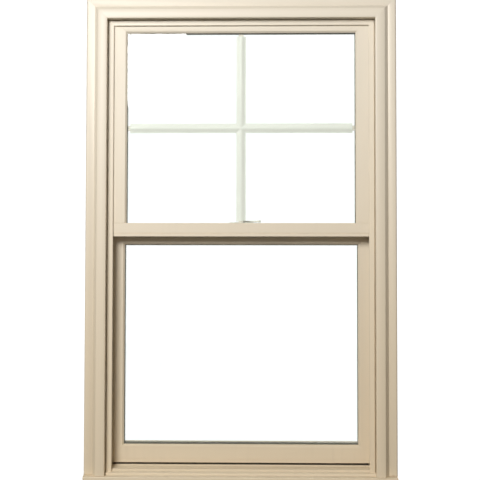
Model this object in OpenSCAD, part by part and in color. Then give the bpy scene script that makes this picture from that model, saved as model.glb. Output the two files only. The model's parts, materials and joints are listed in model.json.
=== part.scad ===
// Double-hung sash window: hollow frame and casing, two sliding sashes with sealed double
// glazing, a flat grille in the upper glass, spiral balances, a cam lock and two vent stops.
// X runs across the window, -Y is outdoors, +Z is up. The origin is the middle of the sill's
// underside, in the wall plane that the casing's back lies on.

/* [Overall] */
// Width over the side casings
overall_w = 812.8; // [600:0.1:1200]
// Height from the sill's underside to the top of the head casing
overall_h = 1270; // [1000:1:1700]

/* [Casing] */
// Face width of the casing
casing_w = 55.4; // [50:0.1:80]
// Width of the outer band
outer_band_w = 22; // [14:0.5:26]
// Width of the slope between the bands
casing_slope_w = 10; // [6:0.5:14]
// Projection of the outer band from the wall
outer_band_d = 18; // [16:0.5:26]
// Projection of the inner band from the wall
inner_band_d = 30; // [26:0.5:40]
// Radius of the casing's outer front edge
casing_edge_r = 4; // [1:0.5:5]
// Open joint between the casing and the frame's strip
reveal_w = 2; // [1:0.5:4]
// Air gap under the outer band, above the sill nose
band_gap = 2; // [0.5:0.5:4]

/* [Frame] */
// Width of the strip that shows around the sashes
strip_w = 14; // [12:0.5:24]
// Projection of the strip from the wall plane
strip_d = 8; // [6:0.5:12]
// Thickness of the outer stop behind the strip
stop_t = 4; // [3:0.5:5]
// Width of the jamb section, from the sash line to its outer face
frame_w = 37; // [35:0.5:50]
// Wall thickness of the hollow sections
wall = 2.5; // [2:0.1:3]
// Depth of each track beyond the sash line
track_d = 9; // [8:0.5:12]
// Gap between the parting leg's tip and the sash line
parting_tip = 3; // [2:0.5:4]
// Thickness of the parting leg
parting_t = 2; // [1.5:0.1:2.5]
// Thickness of the inner stop
inner_stop_t = 8; // [7:0.5:14]
// Radius of the installation screw holes in the jambs
install_hole_r = 2.5; // [2:0.1:3.5]
// Height of the lower installation hole
install_z = 280; // [200:1:350]
// Distance between the two installation holes of a jamb
install_pitch = 700; // [500:1:800]

/* [Sill] */
// Height of the shelf under the lower sash
sill_h = 44; // [42:0.5:60]
// Height of the upstand behind the lower sash, above the shelf
upstand_h = 17.5; // [10:0.5:25]
// Height of the sill's front edge
sill_front_h = 37; // [34:0.5:43]
// Step down from the shelf to the outer slope
sill_step = 2; // [2:0.5:6]
// Projection of the sill nose from the wall
nose_d = 36; // [32:0.5:60]
// Height of the nose where it meets the sill
nose_back_h = 32; // [28:0.5:34]
// Height of the nose's front edge
nose_front_h = 20; // [16:0.5:24]
// Height of the step across the middle of the nose
nose_step = 5.5; // [3:0.5:6]
// Thickness of the nose's end caps
cap_t = 2; // [1.5:0.5:4]

/* [Sashes] */
// Thickness of both sashes
sash_t = 35; // [35:0.5:42]
// Clear space between the two sashes
sash_gap = 6; // [6:0.5:9]
// How far a sash reaches behind the sash line
sash_lap = 6; // [5:0.5:6.5]
// Running gap between a sash face and the frame
face_gap = 2; // [1:0.1:2.5]
// Visible width of the upper stiles
upper_stile_face = 34.5; // [32:0.5:50]
// Visible height of the upper sash's top rail
upper_rail_face = 18.6; // [17:0.1:30]
// Height of the meeting rail
meeting_rail_h = 35.5; // [32:0.5:45]
// Height of the meeting rail's top edge
meeting_rail_z = 678; // [600:1:740]
// Visible width of the lower stiles
lower_stile_face = 26.5; // [24:0.5:40]
// Height of the lower sash's bottom rail
bottom_rail_h = 48; // [44:0.5:70]
// Height of the lower sash's check rail
check_rail_h = 47.5; // [44:0.5:60]
// How far the check rail's top lies under the meeting rail's top
check_rail_drop = 7; // [6:0.5:9]
// Gap under the lower sash, filled by its bulb seal
sill_gap = 5.5; // [2:0.5:7]
// Width of the bevel beside the glass
bevel_w = 4.5; // [3:0.5:6]
// Depth of the bevel
bevel_d = 4; // [2:0.5:5]
// Depth of the glazing rebate behind the sight line
rebate_w = 12; // [11:0.5:14]
// Width of the groove across the two bottom edges
lip_groove_w = 2; // [1:0.5:3]
// Height of the lip under that groove
lip_h = 7; // [5:0.5:9]
// How far the meeting rail's lip stands proud
lip_d = 1.5; // [0.5:0.5:1.5]

/* [Glass] */
// Thickness of one pane
pane_t = 3; // [3:0.5:4]
// Air space between the panes
air_gap = 11.5; // [9.5:0.5:11.5]
// How far the glass reaches into the rebate
glass_bite = 9; // [7:0.5:10]
// How far the lower spacer stands above the lower sight line
spacer_rise = 5; // [0:0.5:6]
// How far the spacers show past the other sight lines
spacer_show = 1.5; // [0:0.5:3]
// How far the lower sash's bottom bead stands above the sight line
bead_rise = 7; // [0.5:0.5:9]
// Width of the grille bars
grille_w = 25; // [16:0.5:30]
// Thickness of the grille bars
grille_t = 8; // [5:0.5:8.5]

/* [Hardware] */
// Width of the balance pockets in the jambs
pocket_w = 14; // [12:0.5:15]
// Depth of the balance pockets, beyond the track
pocket_d = 14; // [13:0.5:15]
// Outside radius of the balance tubes
tube_r = 4.75; // [4:0.05:5.5]
// Bore radius of the balance tubes
tube_bore_r = 3.75; // [3:0.05:4.5]
// Clear height from the upper sash's rod feet to the balance tubes
tube_gap = 8; // [4:1:20]
// Radius of the balance rods
rod_r = 2; // [1.5:0.1:2.5]
// Length of a balance rod above its foot, on top of the distance that it has to bridge
rod_overlap = 15; // [10:1:18]
// Reach of the lock's cam from its spindle
cam_reach = 21; // [20:0.5:22]
// Length of the lock's lever from its spindle
lever_len = 52; // [40:1:60]
// Length of a vent-stop tongue
tongue_len = 24; // [20:1:28]

/* [Hidden] */
$fn = 48;

vinyl = [0.91, 0.86, 0.77];
gap = 0.3;                       // clearance of a soft strip to what it seals against
nib = 1;                         // chamfer on exposed edges
eps = 1;                         // overshoot of a cut

// Sash line: the edge that the strip draws around both sashes
line_x = overall_w / 2 - casing_w - reveal_w - strip_w;
line_z = overall_h - casing_w - reveal_w - strip_w;
frame_x = line_x + frame_w;

// Depths, from outdoors to indoors
upper_y = -strip_d + stop_t + face_gap;
lower_y = upper_y + sash_t + sash_gap;
parting_y = upper_y + sash_t + (sash_gap - parting_t) / 2;
inner_stop_y = lower_y + sash_t + face_gap;
frame_y = inner_stop_y + inner_stop_t;

// Sashes
sash_x = line_x + sash_lap;
upper_sight_x = line_x - upper_stile_face;
upper_sight_top = line_z - upper_rail_face;
upper_top = line_z + sash_lap;
upper_bottom = meeting_rail_z - meeting_rail_h;
lower_sight_x = line_x - lower_stile_face;
lower_bottom = sill_h + sill_gap;
lower_sight_bottom = lower_bottom + bottom_rail_h;
lower_top = meeting_rail_z - check_rail_drop;
lower_sight_top = lower_top - check_rail_h;
edge_wall = 4.5;                 // wall at a sash's outer edge, deep enough for the pile groove
bead_y = bevel_d + 2 + 2 * pane_t + air_gap;
glass_y = bevel_d + 2;
ledge_drop = 4.5;                // the meeting rail's inner ledge lies this far under its top

// Sill nose: a step across its middle, and the fall of its slopes
nose_step_y = 16;
nose_fall = 3.4;
nose_mid_h = nose_back_h - nose_fall - nose_step;

// Casing tongue and the kerf in the frame that takes it
casing_s = strip_w + reveal_w;   // casing's inner edge, from the sash line
kerf_s = casing_s + 8;
kerf_w = 3.6;
kerf_d = 9;
seal_groove = 1.2;

// Interlock hooks in the space between the sashes
hook_t = 1.2;
hook_x = line_x - 2;
upper_hook_y = upper_y + sash_t + sash_gap / 2 - 0.1;
lower_hook_y = lower_y - sash_gap / 2 - 0.8;

// Balances
pocket_mid = sash_t / 2;
boss_t = 6;                      // web in the bottom rails that the foot screws bite into
tube_x = line_x + track_d + pocket_d / 2;
tube_top = line_z - 8;
tube_screw_drop = 4;
rod_head_room = 4;
foot_h = 4;
foot_rise = 5;
tube_bottom = upper_bottom + foot_rise + foot_h + tube_gap;
tube_len = tube_top - tube_bottom;
foot_plate_h = 28;
foot_plate_t = 2;
foot_w = 12;
screw_r = 1.5;
screw_head_r = 2.8;
screw_head_h = 1.6;

// Installation holes pass between the two pockets
install_y = upper_y + pocket_mid + pocket_w / 2 + 5.5;

// Lock
lock_y = lower_y + 8;
lock_w = 64;
lock_depth = 31;
lock_h = 11;
ledge_z = meeting_rail_z - ledge_drop;
keeper_base_t = 2;
cam_t = 3;
cam_z = ledge_z + keeper_base_t + 0.5;
cam_play = 0.3;
spindle_r = 4;
lever_t = 4;
keeper_w = 48;
keeper_h = 8.5;

// Vent stops
vent_z = meeting_rail_z + 110;
vent_x = upper_sight_x + rebate_w + 14;
vent_w = 14;
vent_h = 44;
vent_depth = 12;
tongue_w = 8;
tongue_t = 8;
tongue_play = 0.4;
pin_r = 1.5;

// ---------- helpers ----------

// A section drawn as (distance outward, depth), run upwards
module along_z(z0, z1) {
    translate([0, 0, z0])
        linear_extrude(z1 - z0)
            children();
}

// A section drawn as (depth, height), run across the window, centred
module along_x(len) {
    rotate([90, 0, 90])
        translate([0, 0, -len / 2])
            linear_extrude(len)
                children();
}

// Turns a (distance outward, depth) section into a (depth, height) one, growing upwards
module upward() {
    mirror([1, -1, 0])
        children();
}

// A flat outline in the window's face, as thick as the frame is deep and more
module face_prism(points, y0 = -80, y1 = 160) {
    translate([0, y1, 0])
        rotate([90, 0, 0])
            linear_extrude(y1 - y0)
                polygon(points);
}

module both_sides() {
    children();
    mirror([1, 0, 0])
        children();
}

module box(x0, x1, y0, y1, z0, z1) {
    translate([x0, y0, z0])
        cube([x1 - x0, y1 - y0, z1 - z0]);
}

module rect(x0, x1, y0, y1) {
    translate([x0, y0])
        square([x1 - x0, y1 - y0]);
}

// Countersunk screw with its head's top at the origin, pointing down
module screw(len) {
    translate([0, 0, -screw_head_h])
        cylinder(r1 = screw_r, r2 = screw_head_r, h = screw_head_h);
    translate([0, 0, -len])
        cylinder(r = screw_r, h = len - screw_head_h);
}

// Flat plate with round corners, lying on z = 0
module round_plate(w, d, r, h) {
    linear_extrude(h)
        union() {
            translate([-w / 2 + r, -d / 2])
                square([w - 2 * r, d]);
            translate([-w / 2, -d / 2 + r])
                square([w, d - 2 * r]);
            for (sx = [-1, 1], sy = [-1, 1])
                translate([sx * (w / 2 - r), sy * (d / 2 - r)])
                    circle(r);
        }
}

// ---------- frame ----------

// Jamb and head section, as distance outward from the sash line and depth
module frame_section() {
    chamber_s = track_d + wall;
    pocket_s = track_d + pocket_d;
    outer_s = frame_w - wall;
    pocket_1 = upper_y + pocket_mid;
    pocket_2 = lower_y + pocket_mid;
    half = pocket_w / 2;
    difference() {
        polygon([
            [0, -strip_d + nib], [nib, -strip_d], [strip_w - nib, -strip_d],
            [strip_w, -strip_d + nib], [strip_w, -strip_d / 4], [casing_s, -strip_d / 4],
            [casing_s, 0], [frame_w, 0], [frame_w, frame_y], [nib, frame_y],
            [0, frame_y - nib], [0, inner_stop_y], [track_d, inner_stop_y],
            [track_d, parting_y + parting_t], [parting_tip, parting_y + parting_t],
            [parting_tip, parting_y], [track_d, parting_y],
            [track_d, -strip_d + stop_t], [0, -strip_d + stop_t]]);
        rect(kerf_s, kerf_s + kerf_w, -eps, kerf_d);
        for (y = [pocket_1, pocket_2])
            rect(track_d - eps, pocket_s, y - half, y + half);
        rect(chamber_s, outer_s, pocket_1 + half + wall, pocket_2 - half - wall);
        rect(chamber_s, outer_s, pocket_2 + half + wall, frame_y - wall);
        rect(wall, outer_s, inner_stop_y + wall, frame_y - wall);
        rect(pocket_s + wall, outer_s, kerf_d + wall, pocket_1 + half);
        rect(pocket_s + wall, outer_s, pocket_2 - half, pocket_2 + half);
        rect(chamber_s, kerf_s - wall, 0.5, pocket_1 - half - wall);
    }
}

// What the sill and its nose take up, so that jambs and casings stand on them
module sill_space() {
    along_x(overall_w + 2 * eps)
        polygon([
            [frame_y + eps, -eps], [frame_y + eps, sill_h + upstand_h],
            [inner_stop_y, sill_h + upstand_h], [inner_stop_y, sill_h],
            [parting_y, sill_h], [parting_y, sill_h - sill_step], [0, sill_front_h],
            [0, nose_back_h], [-nose_step_y, nose_back_h - nose_fall],
            [-nose_step_y, nose_mid_h], [-nose_d - eps, nose_front_h], [-nose_d - eps, -eps]]);
}

module frame_jamb_solid() {
    difference() {
        intersection() {
            translate([line_x, 0, 0])
                along_z(0, overall_h)
                    frame_section();
            face_prism([
                [line_x - eps, 0], [frame_x, 0], [frame_x, line_z + frame_w],
                [line_x, line_z], [line_x - eps, line_z]]);
        }
        sill_space();
        for (z = [install_z, install_z + install_pitch])
            translate([line_x, install_y, z])
                rotate([0, 90, 0])
                    cylinder(r = install_hole_r, h = frame_w + eps);
        balance_screw_set(1);
    }
}

module frame_jamb_left() {
    color(vinyl)
        mirror([1, 0, 0])
            frame_jamb_solid();
}

module frame_jamb_right() {
    color(vinyl)
        frame_jamb_solid();
}

module frame_head() {
    color(vinyl)
        intersection() {
            translate([0, 0, line_z])
                along_x(2 * frame_x + 2 * eps)
                    upward()
                        frame_section();
            face_prism([
                [-line_x, line_z], [line_x, line_z], [frame_x, line_z + frame_w],
                [-frame_x, line_z + frame_w]]);
        }
}

module frame_sill() {
    web_y = parting_y + 18;
    color(vinyl)
        along_x(2 * frame_x)
            difference() {
                polygon([
                    [0, 0], [frame_y, 0], [frame_y, sill_h + upstand_h - nib],
                    [frame_y - nib, sill_h + upstand_h], [inner_stop_y, sill_h + upstand_h],
                    [inner_stop_y, sill_h], [parting_y, sill_h],
                    [parting_y, sill_h - sill_step], [0, sill_front_h]]);
                rect(wall, parting_y - 2 * wall, wall, sill_front_h - wall);
                rect(parting_y - wall, web_y, wall, sill_h - sill_step - wall);
                rect(web_y + wall, frame_y - wall, wall, sill_h - wall);
                rect(inner_stop_y + wall, frame_y - wall, sill_h - wall - eps,
                     sill_h + upstand_h - wall);
            }
}

// ---------- casing ----------

// Casing section, as distance outward from its inner edge and depth
module casing_section() {
    slope_s = casing_w - outer_band_w - casing_slope_w;
    band_s = casing_w - outer_band_w;
    tongue_s = kerf_s - casing_s + (kerf_w - 3) / 2;
    difference() {
        polygon(concat(
            [[0, 0], [0, -inner_band_d + 2 * nib], [0.6 * nib, -inner_band_d + 0.6 * nib],
             [2 * nib, -inner_band_d], [slope_s - nib, -inner_band_d],
             [slope_s + nib, -inner_band_d + 0.6 * nib], [band_s, -outer_band_d]],
            [for (a = [0:15:90])
                [casing_w - casing_edge_r * (1 - sin(a)),
                 -outer_band_d + casing_edge_r * (1 - cos(a))]],
            [[casing_w, 0], [tongue_s + 3, 0], [tongue_s + 3, kerf_d - 0.5],
             [tongue_s, kerf_d - 0.5], [tongue_s, 0]]));
        rect(wall, slope_s - wall, -inner_band_d + wall, -wall);
        // groove for sealant, along the frame's outer face
        rect(frame_w - casing_s, frame_w - casing_s + seal_groove, -seal_groove, eps);
        polygon([
            [slope_s, -wall], [slope_s, -inner_band_d + 2.2 * wall],
            [band_s, -outer_band_d + wall], [casing_w - wall, -outer_band_d + wall],
            [casing_w - wall, -wall]]);
    }
}

module casing_side_solid() {
    inner = line_x + casing_s;
    outer = inner + casing_w;
    top = line_z + casing_s;
    difference() {
        intersection() {
            translate([inner, 0, 0])
                along_z(0, overall_h)
                    casing_section();
            face_prism([
                [inner - eps, 0], [outer, 0], [outer, top + casing_w], [inner, top],
                [inner - eps, top]]);
        }
        sill_space();
        // shadow gap under the outer band
        intersection() {
            translate([0, 0, band_gap])
                sill_space();
            box(outer - outer_band_w, outer + eps, -nose_d, 0, 0, sill_h);
        }
    }
}

module casing_left() {
    color(vinyl)
        mirror([1, 0, 0])
            casing_side_solid();
}

module casing_right() {
    color(vinyl)
        casing_side_solid();
}

module casing_head() {
    inner = line_x + casing_s;
    outer = inner + casing_w;
    top = line_z + casing_s;
    color(vinyl)
        intersection() {
            translate([0, 0, top])
                along_x(overall_w + 2 * eps)
                    upward()
                        casing_section();
            face_prism([
                [-inner, top], [inner, top], [outer, top + casing_w],
                [-outer, top + casing_w]]);
        }
}

module nose_outline() {
    r = 3;
    polygon(concat(
        [[0, 0], [0, nose_back_h], [-nose_step_y + nib, nose_back_h - nose_fall],
         [-nose_step_y, nose_back_h - nose_fall - nib], [-nose_step_y, nose_mid_h]],
        [for (a = [0:15:90])
            [-nose_d + r - r * sin(a), nose_front_h - r + r * cos(a)]],
        [[-nose_d, 0], [-nose_d + 6, 0], [-nose_d + 6, 2], [-nose_d + 9, 2],
         [-nose_d + 9, 0]]));
}

module sill_nose() {
    color(vinyl)
        along_x(overall_w - 2 * cap_t)
            difference() {
                nose_outline();
                rect(-nose_step_y + wall, -wall, wall, nose_back_h - nose_fall - wall);
                rect(-nose_d + wall, -nose_step_y, 2 * wall, nose_front_h - wall);
            }
}

module nose_end_caps() {
    color(vinyl)
        both_sides()
            translate([(overall_w - cap_t) / 2, 0, 0])
                along_x(cap_t)
                    nose_outline();
}

// ---------- sash sections ----------

pile_y = 5;                      // middle of the pile groove from the sash's outer face
pile_w = 4;
pile_groove = 1.8;

// Stile or rail section, as distance outward from the sight line and depth
module sash_section(w, grooved = true) {
    difference() {
        polygon([
            [bevel_w, 0], [w - nib, 0], [w, nib], [w, sash_t - nib], [w - nib, sash_t],
            [rebate_w, sash_t], [rebate_w, glass_y], [0, glass_y], [0, bevel_d]]);
        rect(rebate_w + wall, w - edge_wall, wall, sash_t - wall);
        if (grooved)
            rect(w - pile_groove, w + eps, pile_y - pile_w / 2, pile_y + pile_w / 2);
    }
}

// Glazing bead section, filling the rebate between the glass and the inner face
module bead_section(rise = 0) {
    polygon([
        [-rise, bead_y], [rebate_w, bead_y], [rebate_w, sash_t],
        [rebate_w / 2 - rise, sash_t], [-rise, bead_y + 4]]);
}

// Frame-shaped ring in the window's face
module ring(x_in, z_in0, z_in1, w_side, w_low, w_high, y0, y1) {
    difference() {
        box(-x_in - w_side, x_in + w_side, y0, y1, z_in0 - w_low, z_in1 + w_high);
        box(-x_in, x_in, y0 - eps, y1 + eps, z_in0, z_in1);
    }
}

// ---------- upper sash ----------

module upper_stile_solid() {
    w = upper_stile_face + sash_lap;
    difference() {
        intersection() {
            translate([upper_sight_x, upper_y, 0])
                along_z(meeting_rail_z, upper_top)
                    sash_section(w);
            face_prism([
                [upper_sight_x, meeting_rail_z], [sash_x, meeting_rail_z],
                [sash_x, upper_top], [upper_sight_x + rebate_w, upper_sight_top + rebate_w],
                [upper_sight_x, upper_sight_top]]);
        }
        vent_housing_envelope();
    }
}

module upper_stile_left() {
    color(vinyl)
        mirror([1, 0, 0])
            upper_stile_solid();
}

module upper_stile_right() {
    color(vinyl)
        upper_stile_solid();
}

module upper_top_rail() {
    x = upper_sight_x;
    z = upper_sight_top;
    color(vinyl)
        intersection() {
            translate([0, upper_y, z])
                along_x(2 * sash_x)
                    upward()
                        sash_section(upper_rail_face + sash_lap, false);
            face_prism([
                [-x, z], [x, z], [x + rebate_w, z + rebate_w], [sash_x, upper_top],
                [-sash_x, upper_top], [-x - rebate_w, z + rebate_w]]);
        }
}

module meeting_rail() {
    h = meeting_rail_h;
    groove_z = lip_h;
    slot_z = h - rebate_w;
    color(vinyl)
        difference() {
            translate([0, upper_y, upper_bottom])
                union() {
                    along_x(2 * sash_x)
                        difference() {
                            polygon([
                                [0, groove_z + lip_groove_w], [0, h - nib], [nib, h],
                                [glass_y, h], [glass_y, slot_z], [bead_y, slot_z],
                                [bead_y, h - ledge_drop], [sash_t, h - ledge_drop],
                                [sash_t, 0], [0, 0], [0, groove_z], [1.5, groove_z],
                                [1.5, groove_z + lip_groove_w]]);
                            rect(2 * wall, pocket_mid - boss_t / 2, wall, slot_z - wall);
                            rect(pocket_mid + boss_t / 2, sash_t - wall, wall, slot_z - wall);
                        }
                    // proud lip, between the outer stops
                    along_x(2 * hook_x)
                        polygon([
                            [0, 0], [-lip_d + 0.5, 0], [-lip_d, 0.5],
                            [-lip_d, groove_z - 0.5], [-lip_d + 0.5, groove_z],
                            [0, groove_z]]);
                    // interlock hook, turned up
                    along_x(2 * hook_x)
                        polygon([
                            [sash_t, 6], [upper_hook_y - upper_y + hook_t, 6],
                            [upper_hook_y - upper_y + hook_t, 20],
                            [upper_hook_y - upper_y, 20], [upper_hook_y - upper_y, 6 + hook_t],
                            [sash_t, 6 + hook_t]]);
                }
            keeper_screws_solid();
            foot_screw_set(upper_y, upper_bottom);
        }
}

module upper_pane(y0) {
    b = glass_bite;
    box(-upper_sight_x - b, upper_sight_x + b, y0, y0 + pane_t,
        meeting_rail_z - b, upper_sight_top + b);
}

module upper_pane_outer() {
    color([0.8, 0.9, 0.9, 0.3])
        upper_pane(upper_y + glass_y);
}

module upper_pane_inner() {
    color([0.8, 0.9, 0.9, 0.3])
        upper_pane(upper_y + glass_y + pane_t + air_gap);
}

module upper_spacer() {
    y0 = upper_y + glass_y + pane_t;
    b = glass_bite;
    color([0.6, 0.6, 0.58])
        ring(upper_sight_x - spacer_show, meeting_rail_z, upper_sight_top - spacer_show,
             b + spacer_show, b, b + spacer_show, y0, y0 + air_gap);
}

grille_y = upper_y + glass_y + pane_t + air_gap / 2;
grille_z = (meeting_rail_z + upper_sight_top) / 2;
grille_x = upper_sight_x - spacer_show;
grille_top = upper_sight_top - spacer_show;
clip_l = 6;

// Sculptured bar section: a raised middle between two flat edges
module grille_section() {
    w = grille_w / 2;
    t = grille_t / 2;
    polygon([
        [-w, -t / 4], [-0.62 * w, -t / 2], [-0.28 * w, -t], [0.28 * w, -t],
        [0.62 * w, -t / 2], [w, -t / 4], [w, t / 4], [0.62 * w, t / 2], [0.28 * w, t],
        [-0.28 * w, t], [-0.62 * w, t / 2], [-w, t / 4]]);
}

module grille_upright() {
    color(vinyl)
        translate([0, grille_y, 0])
            along_z(meeting_rail_z + clip_l, grille_top - clip_l)
                grille_section();
}

// The cross bar is coped round the upright
module grille_bar() {
    color(vinyl)
        difference() {
            translate([0, grille_y, grille_z])
                along_x(2 * (grille_x - clip_l))
                    upward()
                        grille_section();
            translate([0, grille_y, 0])
                along_z(grille_z - grille_w, grille_z + grille_w)
                    grille_section();
        }
}

module grille_clips() {
    t = 2;
    color([0.85, 0.82, 0.76])
        union() {
            for (z = [meeting_rail_z, grille_top - clip_l])
                box(-grille_w / 4, grille_w / 4, grille_y - t, grille_y + t, z, z + clip_l);
            both_sides()
                box(grille_x - clip_l, grille_x, grille_y - t, grille_y + t,
                    grille_z - grille_w / 4, grille_z + grille_w / 4);
        }
}

// A bead between two mitres; z0 and z1 are the sight lines that it meets
module side_bead(sight_x, sash_y, z0, z1, low_mitre, high_mitre) {
    x1 = sight_x + rebate_w;
    intersection() {
        translate([sight_x, sash_y, 0])
            along_z(z0 - rebate_w, z1 + rebate_w)
                bead_section();
        face_prism([
            [sight_x, z0], [x1, z0 - low_mitre], [x1, z1 + high_mitre], [sight_x, z1]]);
    }
}

module rail_bead(sight_x, sash_y, z) {
    x1 = sight_x + rebate_w;
    intersection() {
        translate([0, sash_y, z])
            along_x(2 * x1)
                upward()
                    bead_section();
        face_prism([
            [-sight_x, z], [sight_x, z], [x1, z + rebate_w], [-x1, z + rebate_w]]);
    }
}

module upper_bead_right_solid() {
    side_bead(upper_sight_x, upper_y, meeting_rail_z, upper_sight_top, 0, rebate_w);
}

module upper_bead_right() {
    color(vinyl)
        upper_bead_right_solid();
}

module upper_bead_left() {
    color(vinyl)
        mirror([1, 0, 0])
            upper_bead_right_solid();
}

module upper_bead_top() {
    color(vinyl)
        rail_bead(upper_sight_x, upper_y, upper_sight_top);
}

block_l = 60;

// Two blocks that carry the glass on a rebate's floor
module setting_blocks(sight_x, sash_y, sight_z) {
    both_sides()
        box(sight_x / 2 - block_l / 2, sight_x / 2 + block_l / 2,
            sash_y + glass_y, sash_y + bead_y, sight_z - rebate_w, sight_z - glass_bite);
}

module upper_setting_blocks() {
    color([0.15, 0.15, 0.15])
        setting_blocks(upper_sight_x, upper_y, meeting_rail_z);
}

// Brush strips in the stiles' edge grooves, just clear of the track's floor
module pile_strips(sash_y, z0, z1) {
    both_sides()
        box(sash_x - pile_groove, line_x + track_d - gap, sash_y + pile_y - pile_w / 2,
            sash_y + pile_y + pile_w / 2, z0, z1);
}

module upper_pile_strips() {
    color([0.5, 0.5, 0.5])
        pile_strips(upper_y, meeting_rail_z, upper_top - 3 * nib);
}

module upper_top_seal() {
    y = upper_y + 6;
    color([0.3, 0.3, 0.3])
        box(-line_x, line_x, y - 3, y + 3, upper_top, line_z + track_d - gap);
}

// ---------- lower sash ----------

module lower_stile_solid() {
    w = lower_stile_face + sash_lap;
    x1 = lower_sight_x + rebate_w;
    z0 = lower_sight_bottom - rebate_w;
    z1 = lower_sight_top + rebate_w;
    intersection() {
        translate([lower_sight_x, lower_y, 0])
            along_z(z0, z1)
                sash_section(w);
        face_prism([
            [lower_sight_x, lower_sight_bottom], [x1, z0], [sash_x, z0], [sash_x, z1],
            [x1, z1], [lower_sight_x, lower_sight_top]]);
    }
}

module lower_stile_left() {
    color(vinyl)
        mirror([1, 0, 0])
            lower_stile_solid();
}

module lower_stile_right() {
    color(vinyl)
        lower_stile_solid();
}

lift_x = line_x - 35;
lift_d = 14;
lift_h = 11;
lift_t = 3;

module lower_bottom_rail() {
    h = bottom_rail_h;
    x1 = lower_sight_x + rebate_w;
    z1 = lower_sight_bottom - rebate_w;
    lift_z = h - rebate_w;
    color(vinyl)
        difference() {
            union() {
                intersection() {
                    translate([0, lower_y, lower_bottom])
                        along_x(2 * sash_x)
                            difference() {
                                polygon([
                                    [0, nib], [0, lip_h], [1.5, lip_h],
                                    [1.5, lip_h + lip_groove_w], [0, lip_h + lip_groove_w],
                                    [0, h - bevel_w], [bevel_d, h], [glass_y, h],
                                    [glass_y, h - rebate_w], [sash_t, h - rebate_w],
                                    [sash_t, nib], [sash_t - nib, 0], [nib, 0]]);
                                rect(2 * wall, pocket_mid - boss_t / 2, wall,
                                     h - rebate_w - wall);
                                rect(pocket_mid + boss_t / 2, sash_t - wall, wall,
                                     h - rebate_w - wall);
                            }
                    face_prism([
                        [-sash_x, lower_bottom], [sash_x, lower_bottom], [sash_x, z1],
                        [x1, z1], [lower_sight_x, lower_sight_bottom],
                        [-lower_sight_x, lower_sight_bottom], [-x1, z1], [-sash_x, z1]]);
                }
                // finger lift along the inner face
                translate([0, lower_y + sash_t, lower_bottom + lift_z])
                    along_x(2 * lift_x)
                        polygon([
                            [0, 0], [lift_d - nib, 0], [lift_d, -nib], [lift_d, -lift_h],
                            [lift_d - lift_t, -lift_h], [lift_d - lift_t, -lift_t],
                            [0, -lift_t]]);
            }
            foot_screw_set(lower_y, lower_bottom);
        }
}

module lower_check_rail() {
    h = check_rail_h;
    x1 = lower_sight_x + rebate_w;
    z1 = lower_sight_top + rebate_w;
    hook_y = lower_hook_y - lower_y;
    color(vinyl)
        difference() {
            union() {
                intersection() {
                    translate([0, lower_y, lower_sight_top])
                        along_x(2 * sash_x)
                            difference() {
                                polygon([
                                    [0, bevel_w], [0, h - nib], [nib, h], [sash_t - nib, h],
                                    [sash_t, h - nib], [sash_t, rebate_w],
                                    [glass_y, rebate_w], [glass_y, 0], [bevel_d, 0]]);
                                rect(wall, sash_t - wall, rebate_w + wall, h - wall);
                            }
                    face_prism([
                        [-lower_sight_x, lower_sight_top], [lower_sight_x, lower_sight_top],
                        [x1, z1], [sash_x, z1], [sash_x, lower_top], [-sash_x, lower_top],
                        [-sash_x, z1], [-x1, z1]]);
                }
                // interlock hook, turned down behind the meeting rail's
                translate([0, lower_y, lower_top])
                    along_x(2 * hook_x)
                        polygon([
                            [0, -4], [hook_y - hook_t, -4], [hook_y - hook_t, -18],
                            [hook_y, -18], [hook_y, -4 - hook_t], [0, -4 - hook_t]]);
            }
            lock_screws_solid();
        }
}

module lower_pane(y0) {
    b = glass_bite;
    box(-lower_sight_x - b, lower_sight_x + b, y0, y0 + pane_t,
        lower_sight_bottom - b, lower_sight_top + b);
}

module lower_pane_outer() {
    color([0.8, 0.9, 0.9, 0.3])
        lower_pane(lower_y + glass_y);
}

module lower_pane_inner() {
    color([0.8, 0.9, 0.9, 0.3])
        lower_pane(lower_y + glass_y + pane_t + air_gap);
}

module lower_spacer() {
    y0 = lower_y + glass_y + pane_t;
    b = glass_bite;
    color([0.6, 0.6, 0.58])
        ring(lower_sight_x - spacer_show, lower_sight_bottom + spacer_rise,
             lower_sight_top - spacer_show, b + spacer_show, b + spacer_rise,
             b + spacer_show, y0, y0 + air_gap);
}

module lower_bead_right_solid() {
    side_bead(lower_sight_x, lower_y, lower_sight_bottom + bead_rise, lower_sight_top,
              rebate_w, rebate_w);
}

module lower_bead_right() {
    color(vinyl)
        lower_bead_right_solid();
}

module lower_bead_left() {
    color(vinyl)
        mirror([1, 0, 0])
            lower_bead_right_solid();
}

module lower_bead_top() {
    color(vinyl)
        rail_bead(lower_sight_x, lower_y, lower_sight_top);
}

// The bottom bead is the tallest; its mitres start at its raised top edge
module lower_bead_bottom() {
    x1 = lower_sight_x + rebate_w;
    top = lower_sight_bottom + bead_rise;
    color(vinyl)
        intersection() {
            translate([0, lower_y, lower_sight_bottom])
                mirror([0, 0, 1])
                    along_x(2 * x1)
                        upward()
                            bead_section(bead_rise);
            face_prism([
                [-lower_sight_x, top], [-x1, top - rebate_w],
                [-x1, lower_sight_bottom - rebate_w], [x1, lower_sight_bottom - rebate_w],
                [x1, top - rebate_w], [lower_sight_x, top]]);
        }
}

module lower_setting_blocks() {
    color([0.15, 0.15, 0.15])
        setting_blocks(lower_sight_x, lower_y, lower_sight_bottom);
}

module lower_pile_strips() {
    color([0.5, 0.5, 0.5])
        pile_strips(lower_y, lower_sight_bottom - rebate_w, lower_sight_top + rebate_w);
}

module lower_bulb_seal() {
    y = lower_y + 10;
    color([0.3, 0.3, 0.3])
        box(-line_x, line_x, y - 4, y + 4, sill_h + gap, lower_bottom);
}

// ---------- lock ----------

module at_lock(z) {
    translate([0, lock_y, z])
        children();
}

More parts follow.
